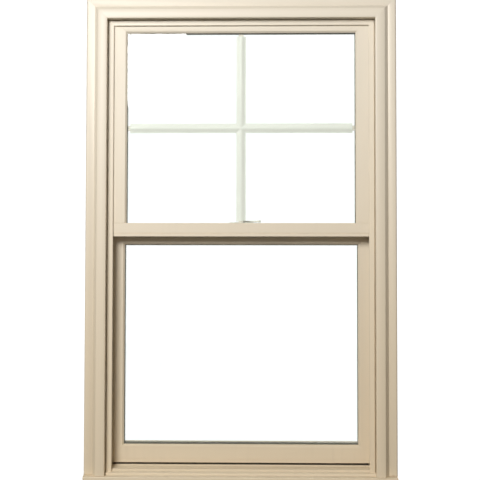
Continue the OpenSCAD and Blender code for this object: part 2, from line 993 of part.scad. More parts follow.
lock_mid_y = lower_y + 1.5 + lock_depth / 2;
cavity_z = cam_z - cam_play;
cavity_h = cam_t + 2 * cam_play;
lever_z = lower_top + lock_h + 0.4;

module lock_screws_solid() {
    for (x = [-lock_w / 2 + 5.5, lock_w / 2 - 5.5])
        translate([x, lock_mid_y, lower_top + lock_h])
            screw(18);
}

module lock_housing() {
    color([0.86, 0.82, 0.74])
        difference() {
            translate([0, lock_mid_y, lower_top])
                round_plate(lock_w, lock_depth, 4, lock_h);
            at_lock(cavity_z)
                cylinder(r = cam_reach + 0.8, h = cavity_h);
            at_lock(cavity_z)
                cylinder(r = spindle_r + 0.08, h = lock_h + eps);
            lock_screws_solid();
        }
}

// Cam, spindle and lever turn as one; unlocked, the cam points indoors and the lever right
module lock_cam() {
    arm_w = 9;
    color([0.82, 0.78, 0.7])
        union() {
            at_lock(cam_z)
                cylinder(r = 6.5, h = cam_t);
            at_lock(cam_z)
                intersection() {
                    cylinder(r = cam_reach, h = cam_t);
                    translate([-arm_w / 2, 0, 0])
                        cube([arm_w, cam_reach, cam_t]);
                }
            at_lock(cam_z)
                cylinder(r = spindle_r, h = lever_z - cam_z + lever_t);
            at_lock(lever_z)
                cylinder(r = 7, h = lever_t);
            at_lock(lever_z)
                linear_extrude(lever_t)
                    polygon([[0, 6.4], [0, -6.4], [lever_len - 5, -4.2], [lever_len - 5, 4.2]]);
            translate([lever_len - 5, 0, 0])
                at_lock(lever_z)
                    cylinder(r = 4.8, h = lever_t + 1);
        }
}

module lock_screws() {
    color([0.7, 0.7, 0.7])
        lock_screws_solid();
}

keeper_y = upper_y + bead_y + 1;
keeper_d = sash_t - bead_y - 1.5;

module keeper_screws_solid() {
    for (x = [-keeper_w / 2 + 4, keeper_w / 2 - 4])
        translate([x, keeper_y + keeper_d / 2, ledge_z + keeper_base_t])
            screw(14);
}

module lock_keeper() {
    post = 3.5;
    bridge_z = cam_z + cam_t + cam_play;
    inner = keeper_w / 2 - 8;
    color([0.86, 0.82, 0.74])
        difference() {
            union() {
                box(-keeper_w / 2, keeper_w / 2, keeper_y, keeper_y + keeper_d,
                    ledge_z, ledge_z + keeper_base_t);
                box(-inner, -inner + post, keeper_y, keeper_y + 6, ledge_z,
                    ledge_z + keeper_h);
                box(inner - post, inner, keeper_y, keeper_y + 6, ledge_z,
                    ledge_z + keeper_h);
                box(-inner, inner, keeper_y, keeper_y + 6, bridge_z, ledge_z + keeper_h);
            }
            keeper_screws_solid();
        }
}

module keeper_screws() {
    color([0.7, 0.7, 0.7])
        keeper_screws_solid();
}

// ---------- vent stops ----------

vent_face = upper_y + sash_t;
pin_y = vent_face - tongue_t / 2 - 0.5;
pin_z = vent_z + vent_h / 2 - 9;

module vent_housing_envelope() {
    box(vent_x - vent_w / 2, vent_x + vent_w / 2, vent_face - vent_depth, vent_face + eps,
        vent_z - vent_h / 2, vent_z + vent_h / 2);
}

module vent_housing_solid() {
    half = tongue_w / 2 + tongue_play;
    difference() {
        union() {
            box(vent_x - vent_w / 2, vent_x + vent_w / 2, vent_face - vent_depth, vent_face,
                vent_z - vent_h / 2, vent_z + vent_h / 2);
            box(vent_x - vent_w / 2 - 1.5, vent_x + vent_w / 2 + 1.5, vent_face,
                vent_face + 0.8, vent_z - vent_h / 2 - 1.5, vent_z + vent_h / 2 + 1.5);
        }
        box(vent_x - half, vent_x + half, vent_face - tongue_t - 2, vent_face + 2,
            pin_z - tongue_len - 6, pin_z + tongue_t / 2 + 1);
        translate([vent_x - vent_w / 2 - eps, pin_y, pin_z])
            rotate([0, 90, 0])
                cylinder(r = pin_r + 0.05, h = vent_w + 2 * eps);
    }
}

module vent_tongue_solid() {
    x0 = vent_x - tongue_w / 2;
    union() {
        translate([x0, pin_y, pin_z])
            rotate([0, 90, 0])
                cylinder(r = tongue_t / 2, h = tongue_w);
        box(x0, x0 + tongue_w, pin_y - tongue_t / 2, pin_y + tongue_t / 2,
            pin_z - tongue_len, pin_z);
        translate([vent_x - vent_w / 2, pin_y, pin_z])
            rotate([0, 90, 0])
                cylinder(r = pin_r, h = vent_w);
    }
}

module vent_housing_left() {
    color([0.86, 0.82, 0.74])
        mirror([1, 0, 0])
            vent_housing_solid();
}

module vent_housing_right() {
    color([0.86, 0.82, 0.74])
        vent_housing_solid();
}

module vent_tongue_left() {
    color([0.86, 0.82, 0.74])
        mirror([1, 0, 0])
            vent_tongue_solid();
}

module vent_tongue_right() {
    color([0.86, 0.82, 0.74])
        vent_tongue_solid();
}

// ---------- balances ----------

// Screws that hold the tops of the tubes to the pockets' floors
module balance_screw_set(sides) {
    for (y = [upper_y, lower_y])
        translate([tube_x - tube_r, y + pocket_mid, tube_top - tube_screw_drop])
            rotate([0, -90, 0])
                screw(2 * tube_r + 6);
}

module tube(sash_y) {
    both_sides()
        difference() {
            translate([tube_x, sash_y + pocket_mid, tube_bottom])
                cylinder(r = tube_r, h = tube_len);
            translate([tube_x, sash_y + pocket_mid, tube_bottom - eps])
                cylinder(r = tube_bore_r, h = tube_len + 2 * eps);
            balance_screw_set(1);
        }
}

module upper_balance_tubes() {
    color([0.75, 0.75, 0.76])
        tube(upper_y);
}

module lower_balance_tubes() {
    color([0.75, 0.75, 0.76])
        tube(lower_y);
}

module tube_screws() {
    color([0.7, 0.7, 0.7])
        both_sides()
            balance_screw_set(1);
}

// Screws through a rod foot into the sash's edge
module foot_screw_set(sash_y, z) {
    both_sides()
        for (dz = [14, 26])
            translate([sash_x + foot_plate_t, sash_y + pocket_mid, z + foot_rise + dz])
                rotate([0, 90, 0])
                    screw(9);
}

module rod_feet(sash_y, z) {
    y = sash_y + pocket_mid;
    difference() {
        both_sides()
            union() {
                box(sash_x, sash_x + foot_plate_t, y - foot_w / 2, y + foot_w / 2,
                    z + foot_rise, z + foot_rise + foot_plate_h);
                box(sash_x, tube_x + rod_r + 2, y - foot_w / 2 + 1, y + foot_w / 2 - 1,
                    z + foot_rise, z + foot_rise + foot_h);
            }
        foot_screw_set(sash_y, z);
    }
}

module upper_rod_feet() {
    color([0.6, 0.6, 0.6])
        rod_feet(upper_y, upper_bottom);
}

module lower_rod_feet() {
    color([0.6, 0.6, 0.6])
        rod_feet(lower_y, lower_bottom);
}

module rods(sash_y, z0, z1) {
    both_sides()
        translate([tube_x, sash_y + pocket_mid, z0])
            cylinder(r = rod_r, h = z1 - z0);
}

module upper_balance_rods() {
    color([0.55, 0.55, 0.55])
        rods(upper_y, upper_bottom + foot_rise + foot_h, tube_top - tube_screw_drop - rod_head_room);
}

module lower_balance_rods() {
    color([0.55, 0.55, 0.55])
        rods(lower_y, lower_bottom + foot_rise + foot_h, tube_bottom + rod_overlap);
}

module upper_foot_screws() {
    color([0.7, 0.7, 0.7])
        foot_screw_set(upper_y, upper_bottom);
}

module lower_foot_screws() {
    color([0.7, 0.7, 0.7])
        foot_screw_set(lower_y, lower_bottom);
}

frame_head();
frame_sill();
frame_jamb_left();
frame_jamb_right();
casing_head();
casing_left();
casing_right();
sill_nose();
nose_end_caps();
upper_top_rail();
upper_stile_left();
upper_stile_right();
meeting_rail();
upper_pane_outer();
upper_pane_inner();
upper_spacer();
grille_upright();
grille_bar();
grille_clips();
upper_bead_top();
upper_bead_left();
upper_bead_right();
upper_setting_blocks();
upper_pile_strips();
upper_top_seal();
lower_check_rail();
lower_stile_left();
lower_stile_right();
lower_bottom_rail();
lower_pane_outer();
lower_pane_inner();
lower_spacer();
lower_bead_top();
lower_bead_bottom();
lower_bead_left();
lower_bead_right();
lower_setting_blocks();
lower_pile_strips();
lower_bulb_seal();
lock_housing();
lock_cam();
lock_screws();
lock_keeper();
keeper_screws();
vent_housing_left();
vent_housing_right();
vent_tongue_left();
vent_tongue_right();
upper_balance_tubes();
lower_balance_tubes();
tube_screws();
upper_balance_rods();
lower_balance_rods();
upper_rod_feet();
lower_rod_feet();
upper_foot_screws();
lower_foot_screws();
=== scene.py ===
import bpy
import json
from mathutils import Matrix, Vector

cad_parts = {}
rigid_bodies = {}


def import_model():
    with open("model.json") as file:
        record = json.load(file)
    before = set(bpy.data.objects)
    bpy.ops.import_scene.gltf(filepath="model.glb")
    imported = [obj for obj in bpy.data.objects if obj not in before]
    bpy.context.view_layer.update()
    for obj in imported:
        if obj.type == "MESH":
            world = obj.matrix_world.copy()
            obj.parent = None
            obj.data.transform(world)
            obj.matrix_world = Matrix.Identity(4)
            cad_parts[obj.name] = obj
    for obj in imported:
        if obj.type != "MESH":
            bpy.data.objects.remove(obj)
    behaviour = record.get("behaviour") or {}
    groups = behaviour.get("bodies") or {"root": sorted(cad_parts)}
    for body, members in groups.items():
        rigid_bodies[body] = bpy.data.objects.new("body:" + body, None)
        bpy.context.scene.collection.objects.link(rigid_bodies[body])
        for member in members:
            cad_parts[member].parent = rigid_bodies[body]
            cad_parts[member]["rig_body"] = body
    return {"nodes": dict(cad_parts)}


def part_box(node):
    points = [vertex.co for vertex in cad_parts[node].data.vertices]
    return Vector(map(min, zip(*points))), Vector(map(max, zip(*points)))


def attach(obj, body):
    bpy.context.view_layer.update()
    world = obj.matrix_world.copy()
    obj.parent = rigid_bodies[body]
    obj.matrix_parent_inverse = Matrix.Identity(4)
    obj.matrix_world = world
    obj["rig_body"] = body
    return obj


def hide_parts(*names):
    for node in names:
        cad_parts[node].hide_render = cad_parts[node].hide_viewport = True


bl_info = {
    "name": "Sash Window",
    "version": (1, 0, 0),
    "blender": (4, 5, 0),
    "location": "3D View > Sidebar > Sash Window",
    "description": "Finishes the pieces of a double-hung sash window and sets it on a stage",
    "category": "Object",
}

import json
import math

import bmesh
import bpy
from mathutils import Matrix, Vector

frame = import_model()
NODES = frame["nodes"]
MM = 0.001
WELD = 0.002 * MM  # corners nearer than this are one corner
FLAT_TURN = 0.5  # degrees that faces turn by where their shared edge isn't an edge of the shape
SHARP_TURN = 30  # degrees that faces turn by where an edge is rounded


# ---------- settings ----------


class SashFinishes(bpy.types.PropertyGroup):
    """Colours and textures of the window's finishes"""

    # The next two colours are the two ends of a painted shade: the vinyl is painted lighter near
    # the head and darker, warmer near the sill, for light that falls off lower down
    vinyl: bpy.props.FloatVectorProperty(
        name="Vinyl", description="Almond colour of the extruded vinyl, near the head",
        subtype="COLOR", size=3, min=0, max=1, default=(0.84, 0.77, 0.65))
    vinyl_shaded_low: bpy.props.FloatVectorProperty(
        name="Vinyl near the sill", description="Warmer tone that the vinyl takes lower down",
        subtype="COLOR", size=3, min=0, max=1, default=(0.77, 0.655, 0.485))
    hardware: bpy.props.FloatVectorProperty(
        name="Hardware", description="Colour of the lock, keeper and vent stops",
        subtype="COLOR", size=3, min=0, max=1, default=(0.80, 0.74, 0.65))
    grille: bpy.props.FloatVectorProperty(
        name="Grille", description="Colour of the painted grille bars",
        subtype="COLOR", size=3, min=0, max=1, default=(0.93, 0.94, 0.88))
    soil: bpy.props.FloatVectorProperty(
        name="Soil", description="Colour of the dust that settles on the vinyl",
        subtype="COLOR", size=3, min=0, max=1, default=(0.42, 0.34, 0.24))
    soiling: bpy.props.FloatProperty(
        name="Soiling", description="How strongly dust tints the vinyl",
        subtype="FACTOR", min=0, max=1, default=0.10)


class SashSizes(bpy.types.PropertyGroup):
    """Sizes of the small shapes that are added to the pieces"""

    profile_arris: bpy.props.FloatProperty(
        name="Profile edge", description="Radius of the edges of the vinyl profiles",
        unit="LENGTH", min=0.00005, max=0.001, default=0.0003)
    hardware_edge: bpy.props.FloatProperty(
        name="Hardware edge", description="Radius of the edges of the moulded hardware",
        unit="LENGTH", min=0.0001, max=0.002, default=0.0008)
    glass_arris: bpy.props.FloatProperty(
        name="Glass edge", description="Width of the ground edge of each pane",
        unit="LENGTH", min=0.0001, max=0.001, default=0.0004)
    bristle_radius: bpy.props.FloatProperty(
        name="Bristle radius", description="Radius of one tuft of the brush strips",
        unit="LENGTH", min=0.0001, max=0.001, default=0.00028)
    bristles_per_area: bpy.props.FloatProperty(
        name="Bristle density", description="Tufts of brush to a square metre of strip",
        min=1e5, max=3e6, default=1.1e6)
    perforation_pitch: bpy.props.FloatProperty(
        name="Perforation pitch", description="Distance between holes along a spacer bar",
        unit="LENGTH", min=0.002, max=0.02, default=0.006)
    twist_pitch: bpy.props.FloatProperty(
        name="Twist pitch", description="Rise of a balance's spiral rod in one turn",
        unit="LENGTH", min=0.005, max=0.06, default=0.022)
    thread_pitch: bpy.props.FloatProperty(
        name="Thread pitch", description="Rise of a screw's thread in one turn",
        unit="LENGTH", min=0.0005, max=0.003, default=0.0012)


class SashStage(bpy.types.PropertyGroup):
    """Floor, light and camera"""

    floor_size: bpy.props.FloatProperty(
        name="Floor", description="Width and depth of the floor",
        unit="LENGTH", min=2, max=60, default=24)
    key_power: bpy.props.FloatProperty(
        name="Key light", description="Power of the large soft light, upper left",
        unit="POWER", min=0, max=2000, default=124)
    fill_power: bpy.props.FloatProperty(
        name="Fill light", description="Power of the weak warm light, lower right",
        unit="POWER", min=0, max=2000, default=4)
    back_power: bpy.props.FloatProperty(
        name="Back light", description="Power of the light on the indoor side",
        unit="POWER", min=0, max=2000, default=60)
    ambient: bpy.props.FloatProperty(
        name="Ambient", description="Strength of the light from all around",
        min=0, max=4, default=0.14)
    camera_height: bpy.props.FloatProperty(
        name="Camera height", description="Height of the lens over the floor",
        unit="LENGTH", min=0.1, max=3, default=0.4671)
    camera_distance: bpy.props.FloatProperty(
        name="Camera distance", description="Distance from the lens to the wall plane",
        unit="LENGTH", min=1, max=20, default=3.5)


def finishes():
    return bpy.context.scene.sash_finishes


def sizes():
    return bpy.context.scene.sash_sizes


def stage_settings():
    return bpy.context.scene.sash_stage


# ---------- node tree helpers ----------


def add(tree, kind, inputs=None, **settings):
    """A new node; inputs are keyed by name or place, and a socket given as value is linked"""
    made = tree.nodes.new(kind)
    for key, value in settings.items():
        setattr(made, key, value)
    for key, value in (inputs or {}).items():
        if isinstance(value, bpy.types.NodeSocket):
            tree.links.new(value, made.inputs[key])
        else:
            made.inputs[key].default_value = value
    return made


def maths(tree, operation, a, b=0.0, clamp=False):
    return add(tree, "ShaderNodeMath", {0: a, 1: b}, operation=operation,
               use_clamp=clamp).outputs[0]


def scaled(tree, vector, by):
    return add(tree, "ShaderNodeVectorMath", {0: vector, 1: by}, operation="MULTIPLY").outputs[0]


def mixed(tree, factor, a, b):
    return add(tree, "ShaderNodeMix", {0: factor, 6: a, 7: b}, data_type="RGBA").outputs[2]


def spread(tree, value, low, high, to_low=0.0, to_high=1.0):
    return add(tree, "ShaderNodeMapRange", {0: value, 1: low, 2: high, 3: to_low, 4: to_high},
               interpolation_type="SMOOTHSTEP").outputs[0]


def rgba(colour):
    return (*colour[:3], 1.0)


def new_group(name, kind, inputs, outputs):
    """A node group with named sockets: {name: (socket type, default)}"""
    tree = bpy.data.node_groups.new(name, kind)
    for label, (socket, default) in inputs.items():
        item = tree.interface.new_socket(name=label, in_out="INPUT", socket_type=socket)
        if default is not None:
            item.default_value = default
    for label, socket in outputs.items():
        tree.interface.new_socket(name=label, in_out="OUTPUT", socket_type=socket)
    given = tree.nodes.new("NodeGroupInput").outputs
    result = tree.nodes.new("NodeGroupOutput").inputs
    return tree, given, result


def grain_group():
    """Fine surface relief, stretched along a profile, and a slow unevenness of gloss"""
    tree, given, result = new_group(
        "surface_grain", "ShaderNodeTree",
        {"Stretch": ("NodeSocketVector", (1, 1, 1)), "Fineness": ("NodeSocketFloat", 900.0),
         "Pebble": ("NodeSocketFloat", 0.5)},
        {"Height": "NodeSocketFloat", "Gloss": "NodeSocketFloat"})
    place = add(tree, "ShaderNodeTexCoord").outputs["Object"]
    drawn = add(tree, "ShaderNodeTexNoise",
                {"Vector": scaled(tree, place, given["Stretch"]), "Scale": given["Fineness"],
                 "Detail": 2.0}).outputs["Fac"]
    pebble = add(tree, "ShaderNodeTexNoise",
                 {"Vector": place, "Scale": 1400.0, "Detail": 1.0}).outputs["Fac"]
    height = maths(tree, "ADD", drawn, maths(tree, "MULTIPLY", pebble, given["Pebble"]))
    slow = add(tree, "ShaderNodeTexNoise",
               {"Vector": scaled(tree, place, given["Stretch"]), "Scale": 14.0,
                "Detail": 3.0}).outputs["Fac"]
    tree.links.new(height, result["Height"])
    tree.links.new(spread(tree, slow, 0.3, 0.7), result["Gloss"])


def painted_shade_and_dust_group():
    """Painted shade, a tone that goes from High at the top to a darker, warmer Low near the ground
    for light that falls off lower down, with dust in faint vertical runs
    """
    tree, given, result = new_group(
        "painted_shade_and_dust", "ShaderNodeTree",
        {"High": ("NodeSocketColor", (1, 1, 1, 1)), "Low": ("NodeSocketColor", (1, 1, 1, 1)),
         "Soil": ("NodeSocketColor", (0.4, 0.35, 0.3, 1)), "Amount": ("NodeSocketFloat", 0.1),
         "Top": ("NodeSocketFloat", 1.27)},
        {"Color": "NodeSocketColor", "Mask": "NodeSocketFloat"})
    place = add(tree, "ShaderNodeTexCoord").outputs["Object"]
    split = add(tree, "ShaderNodeSeparateXYZ", {0: place})
    rise = maths(tree, "DIVIDE", split.outputs["Z"], given["Top"], clamp=True)
    # painted shade: the colour runs from Low at the ground to High at the top
    tone = mixed(tree, spread(tree, rise, 0.0, 1.0), given["Low"], given["High"])
    runs = add(tree, "ShaderNodeTexNoise",
               {"Vector": scaled(tree, place, (60.0, 60.0, 5.0)), "Scale": 1.0, "Detail": 4.0,
                "Roughness": 0.6}).outputs["Fac"]
    cloud = add(tree, "ShaderNodeTexNoise",
                {"Vector": place, "Scale": 9.0, "Detail": 3.0}).outputs["Fac"]
    dust = maths(tree, "MULTIPLY", spread(tree, runs, 0.45, 0.8), spread(tree, cloud, 0.35, 0.7))
    low = maths(tree, "SUBTRACT", 1.15, rise)
    mask = maths(tree, "MULTIPLY", maths(tree, "MULTIPLY", dust, low), given["Amount"], clamp=True)
    tree.links.new(mixed(tree, mask, tone, given["Soil"]), result["Color"])
    tree.links.new(mask, result["Mask"])


def group_node(tree, name, inputs):
    return add(tree, "ShaderNodeGroup", inputs, node_tree=bpy.data.node_groups[name])


def new_material(name):
    made = bpy.data.materials.new(name)
    made.use_nodes = True
    tree = made.node_tree
    tree.nodes.clear()
    shader = add(tree, "ShaderNodeBsdfPrincipled")
    output = add(tree, "ShaderNodeOutputMaterial", {"Surface": shader.outputs[0]})
    return made, tree, shader, output


def relief(tree, shader, height, depth):
    bump = add(tree, "ShaderNodeBump", {"Height": height, "Distance": depth})
    tree.links.new(bump.outputs["Normal"], shader.inputs["Normal"])


def grained_material(name, high, low, amount, stretch, roughness, depth,
                     fineness=900.0, pebble=0.5, metallic=0.0, ior=1.5):
    """A material with a tone painted darker and warmer towards the ground as shade, with dust, and
    a fine drawn or pebbled surface
    """
    _, tree, shader, _ = new_material(name)
    shade_and_dust = group_node(tree, "painted_shade_and_dust", {
        "High": rgba(high), "Low": rgba(low), "Soil": rgba(finishes().soil), "Amount": amount})
    grain = group_node(tree, "surface_grain", {
        "Stretch": stretch, "Fineness": fineness, "Pebble": pebble})
    tree.links.new(shade_and_dust.outputs["Color"], shader.inputs["Base Color"])
    dull = maths(tree, "ADD",
                 spread(tree, grain.outputs["Gloss"], 0.0, 1.0, roughness - 0.05, roughness + 0.05),
                 maths(tree, "MULTIPLY", shade_and_dust.outputs["Mask"], 0.5), clamp=True)
    tree.links.new(dull, shader.inputs["Roughness"])
    relief(tree, shader, grain.outputs["Height"], depth)
    shader.inputs["Metallic"].default_value = metallic
    shader.inputs["IOR"].default_value = ior


# Stretch of the grain: along upright profiles, along level ones, and none
UPRIGHT = (1.0, 1.0, 0.02)
LEVEL = (0.02, 1.0, 1.0)
EVEN = (1.0, 1.0, 1.0)


def make_glass():
    """Clear glass that lets the light of lamps and of lit surfaces straight through"""
    _, tree, shader, output = new_material("clear_glass")
    shader.inputs["Base Color"].default_value = (0.975, 0.99, 0.982, 1)
    shader.inputs["Transmission Weight"].default_value = 1.0
    shader.inputs["IOR"].default_value = 1.5
    grain = group_node(tree, "surface_grain", {"Stretch": EVEN, "Fineness": 30.0, "Pebble": 0.0})
    film = spread(tree, grain.outputs["Height"], 0.45, 0.75, 0.0, 0.02)
    tree.links.new(film, shader.inputs["Roughness"])
    clear = add(tree, "ShaderNodeBsdfTransparent", {"Color": (0.95, 0.97, 0.96, 1)})
    rays = add(tree, "ShaderNodeLightPath").outputs
    surface = shader.outputs[0]
    for ray in ("Is Diffuse Ray", "Is Shadow Ray"):
        surface = add(tree, "ShaderNodeMixShader",
                      {0: rays[ray], 1: surface, 2: clear.outputs[0]}).outputs[0]
    tree.links.new(surface, output.inputs["Surface"])


def make_finishes():
    look = finishes()
    grain_group()
    painted_shade_and_dust_group()
    # The vinyl is painted lighter near the head and darker, warmer near the sill, as shade that
    # deepens lower down
    vinyl, low, soiling = look.vinyl, look.vinyl_shaded_low, look.soiling
    for name, stretch in (("vinyl_upright", UPRIGHT), ("vinyl_level", LEVEL)):
        grained_material(name, vinyl, low, soiling, stretch, 0.42, 0.000015)
    grained_material("moulded_hardware", look.hardware, look.hardware, 0.05, EVEN, 0.38,
                     0.00005, fineness=1600.0, pebble=1.0)
    grained_material("grille_enamel", look.grille, look.grille, 0.0, EVEN, 0.5, 0.00003,
                     fineness=700.0, ior=1.45)
    # The spacer bar is painted near black as shade: the darkness of the deep, unlit gap between the
    # panes is put into its colour
    metal = (0.065, 0.06, 0.035)
    grained_material("spacer_painted_shade", metal, metal, 0.0, EVEN, 0.5, 0.00003)
    # Steel, rubber and pile are also painted slightly darker towards the ground
    grained_material("zinc_steel", (0.66, 0.66, 0.64), (0.6, 0.6, 0.58), 0.05, EVEN, 0.32,
                     0.00003, fineness=1500.0, metallic=1.0)
    grained_material("sealant", (0.06, 0.057, 0.045), (0.06, 0.057, 0.045), 0.0, EVEN, 0.6,
                     0.0002, fineness=250.0)
    # The perforations are thin discs painted near black, as the shade inside each hole
    hole_shade = (0.03, 0.03, 0.03)
    grained_material("hole_painted_shade", hole_shade, hole_shade, 0.0, EVEN, 0.8, 0.00005)
    grained_material("black_rubber", (0.055, 0.053, 0.05), (0.05, 0.047, 0.043), 0.2, LEVEL,
                     0.62, 0.0001)
    grained_material("grey_pile", (0.34, 0.33, 0.31), (0.28, 0.26, 0.23), 0.3, EVEN, 0.85,
                     0.0001)
    tube = (0.84, 0.83, 0.78)
    grained_material("tube_shell", tube, tube, 0.05, UPRIGHT, 0.3, 0.00003)
    make_glass()


# ---------- mesh helpers ----------


def welded(node):
    """A CAD node's mesh for editing, with its doubled corners joined"""
    work = bmesh.new()
    work.from_mesh(NODES[node].data)
    bmesh.ops.remove_doubles(work, verts=work.verts, dist=WELD)
    return work


def solids_of(node):
    """The separate solids of a CAD node, each as a list of its corners, in a fixed order"""
    work = welded(node)
    left, found = set(work.verts), []
    for first in work.verts:
        if first not in left:
            continue
        left.discard(first)
        stack, part = [first], []
        while stack:
            vert = stack.pop()
            part.append(vert.co.copy())
            for edge in vert.link_edges:
                other = edge.other_vert(vert)
                if other in left:
                    left.discard(other)
                    stack.append(other)
        found.append(part)
    work.free()
    return sorted(found, key=lambda part: [round(min(c[i] for c in part), 4) for i in range(3)])


def box_of(corners):
    low = Vector(min(c[i] for c in corners) for i in range(3))
    high = Vector(max(c[i] for c in corners) for i in range(3))
    return low, high


def piece(name, mesh, material, body, slot, *stands_for):
    """Puts a mesh in the scene as a finished piece that rides on its CAD body"""
    obj = bpy.data.objects.new(name, mesh)
    bpy.context.scene.collection.objects.link(obj)
    if material:
        mesh.materials.clear()
        mesh.materials.append(bpy.data.materials[material])
    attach(obj, body)
    if stands_for:
        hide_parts(*stands_for)
    return obj


def plain_mesh(obj):
    """The object's mesh with its modifiers applied; the object itself goes"""
    bpy.context.view_layer.update()
    graph = bpy.context.evaluated_depsgraph_get()
    mesh = bpy.data.meshes.new_from_object(obj.evaluated_get(graph), depsgraph=graph)
    bpy.data.objects.remove(obj)
    return mesh


def smooth(mesh, angle):
    """Smooth shading, apart from edges that turn by more than angle, in degrees"""
    mesh.shade_smooth()
    mesh.set_sharp_from_angle(angle=math.radians(angle))


def mesh_from(work, name, smooth_angle=35):
    bmesh.ops.recalc_face_normals(work, faces=work.faces)
    mesh = bpy.data.meshes.new(name)
    work.to_mesh(mesh)
    work.free()
    smooth(mesh, smooth_angle)
    return mesh


def rounded_copy(node, width, steps=2):
    """A copy of a CAD node with its sharp edges rounded"""
    work = welded(node)
    bmesh.ops.dissolve_limit(work, angle_limit=math.radians(FLAT_TURN), verts=work.verts,
                             edges=work.edges)
    mesh = bpy.data.meshes.new(node)
    work.to_mesh(mesh)
    work.free()
    smooth(mesh, SHARP_TURN)
    obj = bpy.data.objects.new(node + "_blank", mesh)
    bpy.context.scene.collection.objects.link(obj)
    edge = obj.modifiers.new("edge", "BEVEL")
    edge.width = width
    edge.segments = steps
    edge.limit_method = "ANGLE"
    edge.angle_limit = math.radians(SHARP_TURN)
    edge.use_clamp_overlap = True
    edge.harden_normals = True
    return plain_mesh(obj)


def swept(work, outline, start, end):
    """A closed prism: outline maps (corner, place along the run) to a point"""
    rings = [[work.verts.new(p) for p in outline(at)] for at in (start, end)]
    count = len(rings[0])
    for i in range(count):
        j = (i + 1) % count
        work.faces.new((rings[0][i], rings[0][j], rings[1][j], rings[1][i]))
    work.faces.new(rings[0])
    work.faces.new(rings[1][::-1])


# ---------- geometry node trees ----------


def grown(tree, mesh, values):
    """Runs a geometry node tree on a mesh and gives the plain mesh that it makes"""
    obj = bpy.data.objects.new("seedbed", mesh)
    bpy.context.scene.collection.objects.link(obj)
    grow = obj.modifiers.new("grow", "NODES")
    grow.node_group = tree
    for item in tree.interface.items_tree:
        if item.item_type == "SOCKET" and item.in_out == "INPUT" and item.name in values:
            grow[item.identifier] = values[item.name]
    return plain_mesh(obj)


def finish_tree(tree, given, result, instances):
    real = add(tree, "GeometryNodeRealizeInstances", {"Geometry": instances}).outputs[0]
    painted = add(tree, "GeometryNodeSetMaterial", {"Geometry": real, "Material": given["Finish"]})
    tree.links.new(painted.outputs[0], result["Geometry"])


def bristle_tree():
    """Tufts that stand on the faces they are given, with a little random lean and height"""
    tree, given, result = new_group(
        "brush_bristles", "GeometryNodeTree",
        {"Geometry": ("NodeSocketGeometry", None), "Height": ("NodeSocketFloat", 0.003),
         "Radius": ("NodeSocketFloat", 0.0003), "Density": ("NodeSocketFloat", 1e6),
         "Seed": ("NodeSocketInt", 7), "Finish": ("NodeSocketMaterial", None)},
        {"Geometry": "NodeSocketGeometry"})
    scatter = add(tree, "GeometryNodeDistributePointsOnFaces",
                  {"Mesh": given["Geometry"], "Density": given["Density"],
                   "Seed": given["Seed"]})
    cone = add(tree, "GeometryNodeMeshCone",
               {"Vertices": 4, "Radius Top": 0.00005, "Radius Bottom": given["Radius"],
                "Depth": given["Height"]})
    lean = add(tree, "FunctionNodeRandomValue",
               {0: (-0.10, -0.10, 0.0), 1: (0.10, 0.10, 3.0), "Seed": given["Seed"]},
               data_type="FLOAT_VECTOR")
    turn = add(tree, "FunctionNodeRotateRotation",
               {0: scatter.outputs["Rotation"]}, rotation_space="LOCAL")
    euler = add(tree, "FunctionNodeEulerToRotation", {0: lean.outputs[0]})
    tree.links.new(euler.outputs[0], turn.inputs[1])
    length = add(tree, "FunctionNodeRandomValue",
                 {2: 0.90, 3: 0.985, "Seed": 3}, data_type="FLOAT")
    tall = add(tree, "ShaderNodeCombineXYZ", {0: 1.0, 1: 1.0, 2: length.outputs[1]})
    put = add(tree, "GeometryNodeInstanceOnPoints",
              {"Points": scatter.outputs["Points"], "Instance": cone.outputs["Mesh"],
               "Rotation": turn.outputs[0], "Scale": tall.outputs[0]})
    finish_tree(tree, given, result, put.outputs[0])


def perforation_tree():
    """Two rows of short slots along the inner face of a spacer bar"""
    tree, given, result = new_group(
        "spacer_perforations", "GeometryNodeTree",
        {"Geometry": ("NodeSocketGeometry", None), "Pitch": ("NodeSocketFloat", 0.006),
         "Slot": ("NodeSocketFloat", 0.0024), "Row Offset": ("NodeSocketFloat", 0.0022),
         "Finish": ("NodeSocketMaterial", None)},
        {"Geometry": "NodeSocketGeometry"})
    path = add(tree, "GeometryNodeMeshToCurve", {0: given["Geometry"]}).outputs[0]
    line = add(tree, "GeometryNodeResampleCurve",
               {"Curve": path, "Length": given["Pitch"]}, mode="LENGTH").outputs[0]
    slot = add(tree, "GeometryNodeMeshCylinder",
               {"Vertices": 10, "Radius": 0.5, "Depth": 0.00006})
    long = add(tree, "ShaderNodeCombineXYZ", {0: given["Slot"], 1: 0.0007, 2: 1.0}).outputs[0]
    rows = add(tree, "GeometryNodeJoinGeometry")
    for side in (-1.0, 1.0):
        off = add(tree, "ShaderNodeCombineXYZ", {1: maths(tree, "MULTIPLY",
                                                         given["Row Offset"], side)})
        moved = add(tree, "GeometryNodeTransform",
                    {"Geometry": slot.outputs["Mesh"], "Translation": off.outputs[0],
                     "Scale": long})
        tree.links.new(moved.outputs[0], rows.inputs[0])
    along = add(tree, "GeometryNodeInputTangent").outputs[0]
    turn = add(tree, "FunctionNodeAlignRotationToVector", {"Vector": along},
               axis="X", pivot_axis="Y")
    put = add(tree, "GeometryNodeInstanceOnPoints",
              {"Points": line, "Instance": rows.outputs[0], "Rotation": turn.outputs[0]})
    finish_tree(tree, given, result, put.outputs[0])


